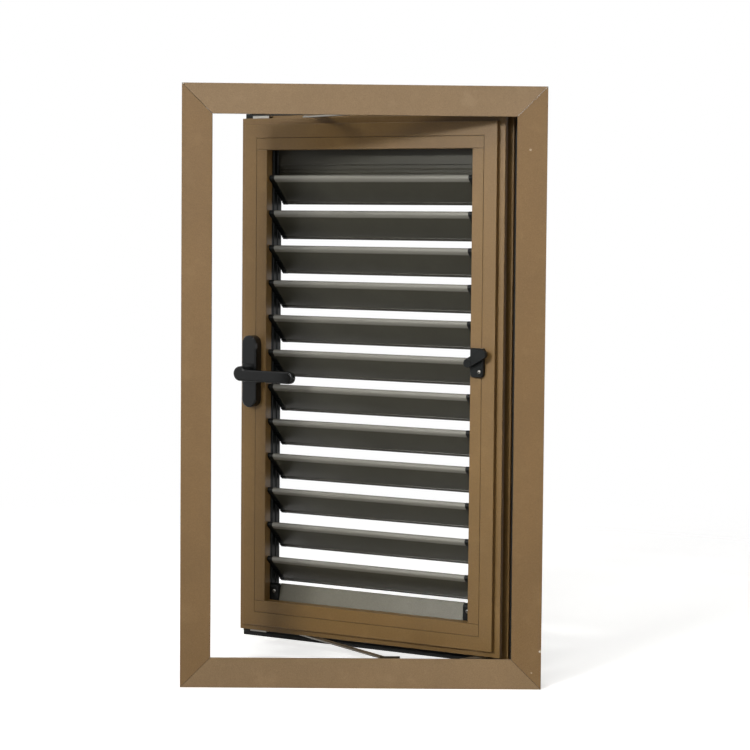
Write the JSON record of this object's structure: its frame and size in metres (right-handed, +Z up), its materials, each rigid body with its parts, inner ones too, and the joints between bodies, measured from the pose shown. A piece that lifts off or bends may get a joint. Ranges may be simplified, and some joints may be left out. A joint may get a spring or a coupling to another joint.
{
  "type": "jalousie window",
  "caption": "Bronze aluminium casement with adjustable louvre blades, standing open in its frame, with a lever handle and a louvre knob.",
  "frame": {"origin": "middle of the frame's underside, on the flat face that beds on the sill of the wall opening", "axes": "+X along the wall to the right as seen from the room, +Y out of the room, +Z up"},
  "size_m": [0.6, 0.3048, 1],
  "materials": {
    "bronze_coat": "satin powder coat on aluminium",
    "grey_coat": "dark grey satin coat on aluminium",
    "black_coat": "black satin coat on cast metal",
    "black_plastic": "black moulded plastic",
    "seal_rubber": "black seal rubber",
    "stay_steel": "plain stainless steel"
  },
  "bodies": {
    "window": {"frame_head": "bronze_coat", "frame_sill": "bronze_coat", "frame_left_jamb": "bronze_coat", "frame_right_jamb": "bronze_coat", "frame_seal": "seal_rubber", "sash_top_rail": "bronze_coat", "sash_bottom_rail": "bronze_coat", "sash_free_stile": "bronze_coat", "sash_hinge_stile": "bronze_coat", "level_beads": "bronze_coat", "upright_beads": "bronze_coat", "sash_seal": "seal_rubber", "pivot_channels": "black_plastic", "head_closure": "grey_coat", "sill_closure": "grey_coat", "closure_brackets": "black_plastic", "corner_drives": "stay_steel", "stay_tracks": "stay_steel", "stay_shoes": "black_plastic", "stay_links": "stay_steel", "hinge_arms": "stay_steel", "handle_base": "black_coat", "operator_base": "black_plastic"},
    "handle": {"handle_lever": "black_coat"},
    "knob": {"louvre_knob": "black_plastic"},
    "blade_01": {"louvre_blade_01": "bronze_coat", "blade_caps_01": "black_plastic"},
    "blade_02": {"louvre_blade_02": "bronze_coat", "blade_caps_02": "black_plastic"},
    "blade_03": {"louvre_blade_03": "bronze_coat", "blade_caps_03": "black_plastic"},
    "blade_04": {"louvre_blade_04": "bronze_coat", "blade_caps_04": "black_plastic"},
    "blade_05": {"louvre_blade_05": "bronze_coat", "blade_caps_05": "black_plastic"},
    "blade_06": {"louvre_blade_06": "bronze_coat", "blade_caps_06": "black_plastic"},
    "blade_07": {"louvre_blade_07": "bronze_coat", "blade_caps_07": "black_plastic"},
    "blade_08": {"louvre_blade_08": "bronze_coat", "blade_caps_08": "black_plastic"},
    "blade_09": {"louvre_blade_09": "bronze_coat", "blade_caps_09": "black_plastic"},
    "blade_10": {"louvre_blade_10": "bronze_coat", "blade_caps_10": "black_plastic"},
    "blade_11": {"louvre_blade_11": "bronze_coat", "blade_caps_11": "black_plastic"},
    "blade_12": {"louvre_blade_12": "bronze_coat", "blade_caps_12": "black_plastic"}
  },
  "joints": [
    {"name": "handle_turn", "type": "hinge", "parent": "window", "child": "handle", "pos_m": [-0.19848, 0.21609, 0.5077], "axis": [0.4563, 0.8898, 0], "range_deg": [0, 90]},
    {"name": "louvre_knob_turn", "type": "hinge", "parent": "window", "child": "knob", "pos_m": [0.19304, 0.0153, 0.549], "axis": [0.4563, 0.8898, 0], "range_deg": [-70, 90]},
    {"name": "blade_turn_01", "type": "hinge", "parent": "window", "child": "blade_01", "pos_m": [0.01545, 0.14346, 0.83], "axis": [0.8898, -0.4563, 0], "range_deg": [-35, 45]},
    {"name": "blade_turn_02", "type": "hinge", "parent": "window", "child": "blade_02", "pos_m": [0.01545, 0.14346, 0.7685], "axis": [0.8898, -0.4563, 0], "range_deg": [-35, 45]},
    {"name": "blade_turn_03", "type": "hinge", "parent": "window", "child": "blade_03", "pos_m": [0.01545, 0.14346, 0.707], "axis": [0.8898, -0.4563, 0], "range_deg": [-35, 45]},
    {"name": "blade_turn_04", "type": "hinge", "parent": "window", "child": "blade_04", "pos_m": [0.01545, 0.14346, 0.6455], "axis": [0.8898, -0.4563, 0], "range_deg": [-35, 45]},
    {"name": "blade_turn_05", "type": "hinge", "parent": "window", "child": "blade_05", "pos_m": [0.01545, 0.14346, 0.584], "axis": [0.8898, -0.4563, 0], "range_deg": [-35, 45]},
    {"name": "blade_turn_06", "type": "hinge", "parent": "window", "child": "blade_06", "pos_m": [0.01545, 0.14346, 0.5225], "axis": [0.8898, -0.4563, 0], "range_deg": [-35, 45]},
    {"name": "blade_turn_07", "type": "hinge", "parent": "window", "child": "blade_07", "pos_m": [0.01545, 0.14346, 0.461], "axis": [0.8898, -0.4563, 0], "range_deg": [-35, 45]},
    {"name": "blade_turn_08", "type": "hinge", "parent": "window", "child": "blade_08", "pos_m": [0.01545, 0.14346, 0.3995], "axis": [0.8898, -0.4563, 0], "range_deg": [-35, 45]},
    {"name": "blade_turn_09", "type": "hinge", "parent": "window", "child": "blade_09", "pos_m": [0.01545, 0.14346, 0.338], "axis": [0.8898, -0.4563, 0], "range_deg": [-35, 45]},
    {"name": "blade_turn_10", "type": "hinge", "parent": "window", "child": "blade_10", "pos_m": [0.01545, 0.14346, 0.2765], "axis": [0.8898, -0.4563, 0], "range_deg": [-35, 45]},
    {"name": "blade_turn_11", "type": "hinge", "parent": "window", "child": "blade_11", "pos_m": [0.01545, 0.14346, 0.215], "axis": [0.8898, -0.4563, 0], "range_deg": [-35, 45]},
    {"name": "blade_turn_12", "type": "hinge", "parent": "window", "child": "blade_12", "pos_m": [0.01545, 0.14346, 0.1535], "axis": [0.8898, -0.4563, 0], "range_deg": [-35, 45]}
  ],
  "couplings": [
    {"joint": "blade_turn_01", "follows": "louvre_knob_turn", "ratio": 0.5},
    {"joint": "blade_turn_02", "follows": "louvre_knob_turn", "ratio": 0.5},
    {"joint": "blade_turn_03", "follows": "louvre_knob_turn", "ratio": 0.5},
    {"joint": "blade_turn_04", "follows": "louvre_knob_turn", "ratio": 0.5},
    {"joint": "blade_turn_05", "follows": "louvre_knob_turn", "ratio": 0.5},
    {"joint": "blade_turn_06", "follows": "louvre_knob_turn", "ratio": 0.5},
    {"joint": "blade_turn_07", "follows": "louvre_knob_turn", "ratio": 0.5},
    {"joint": "blade_turn_08", "follows": "louvre_knob_turn", "ratio": 0.5},
    {"joint": "blade_turn_09", "follows": "louvre_knob_turn", "ratio": 0.5},
    {"joint": "blade_turn_10", "follows": "louvre_knob_turn", "ratio": 0.5},
    {"joint": "blade_turn_11", "follows": "louvre_knob_turn", "ratio": 0.5},
    {"joint": "blade_turn_12", "follows": "louvre_knob_turn", "ratio": 0.5}
  ]
}
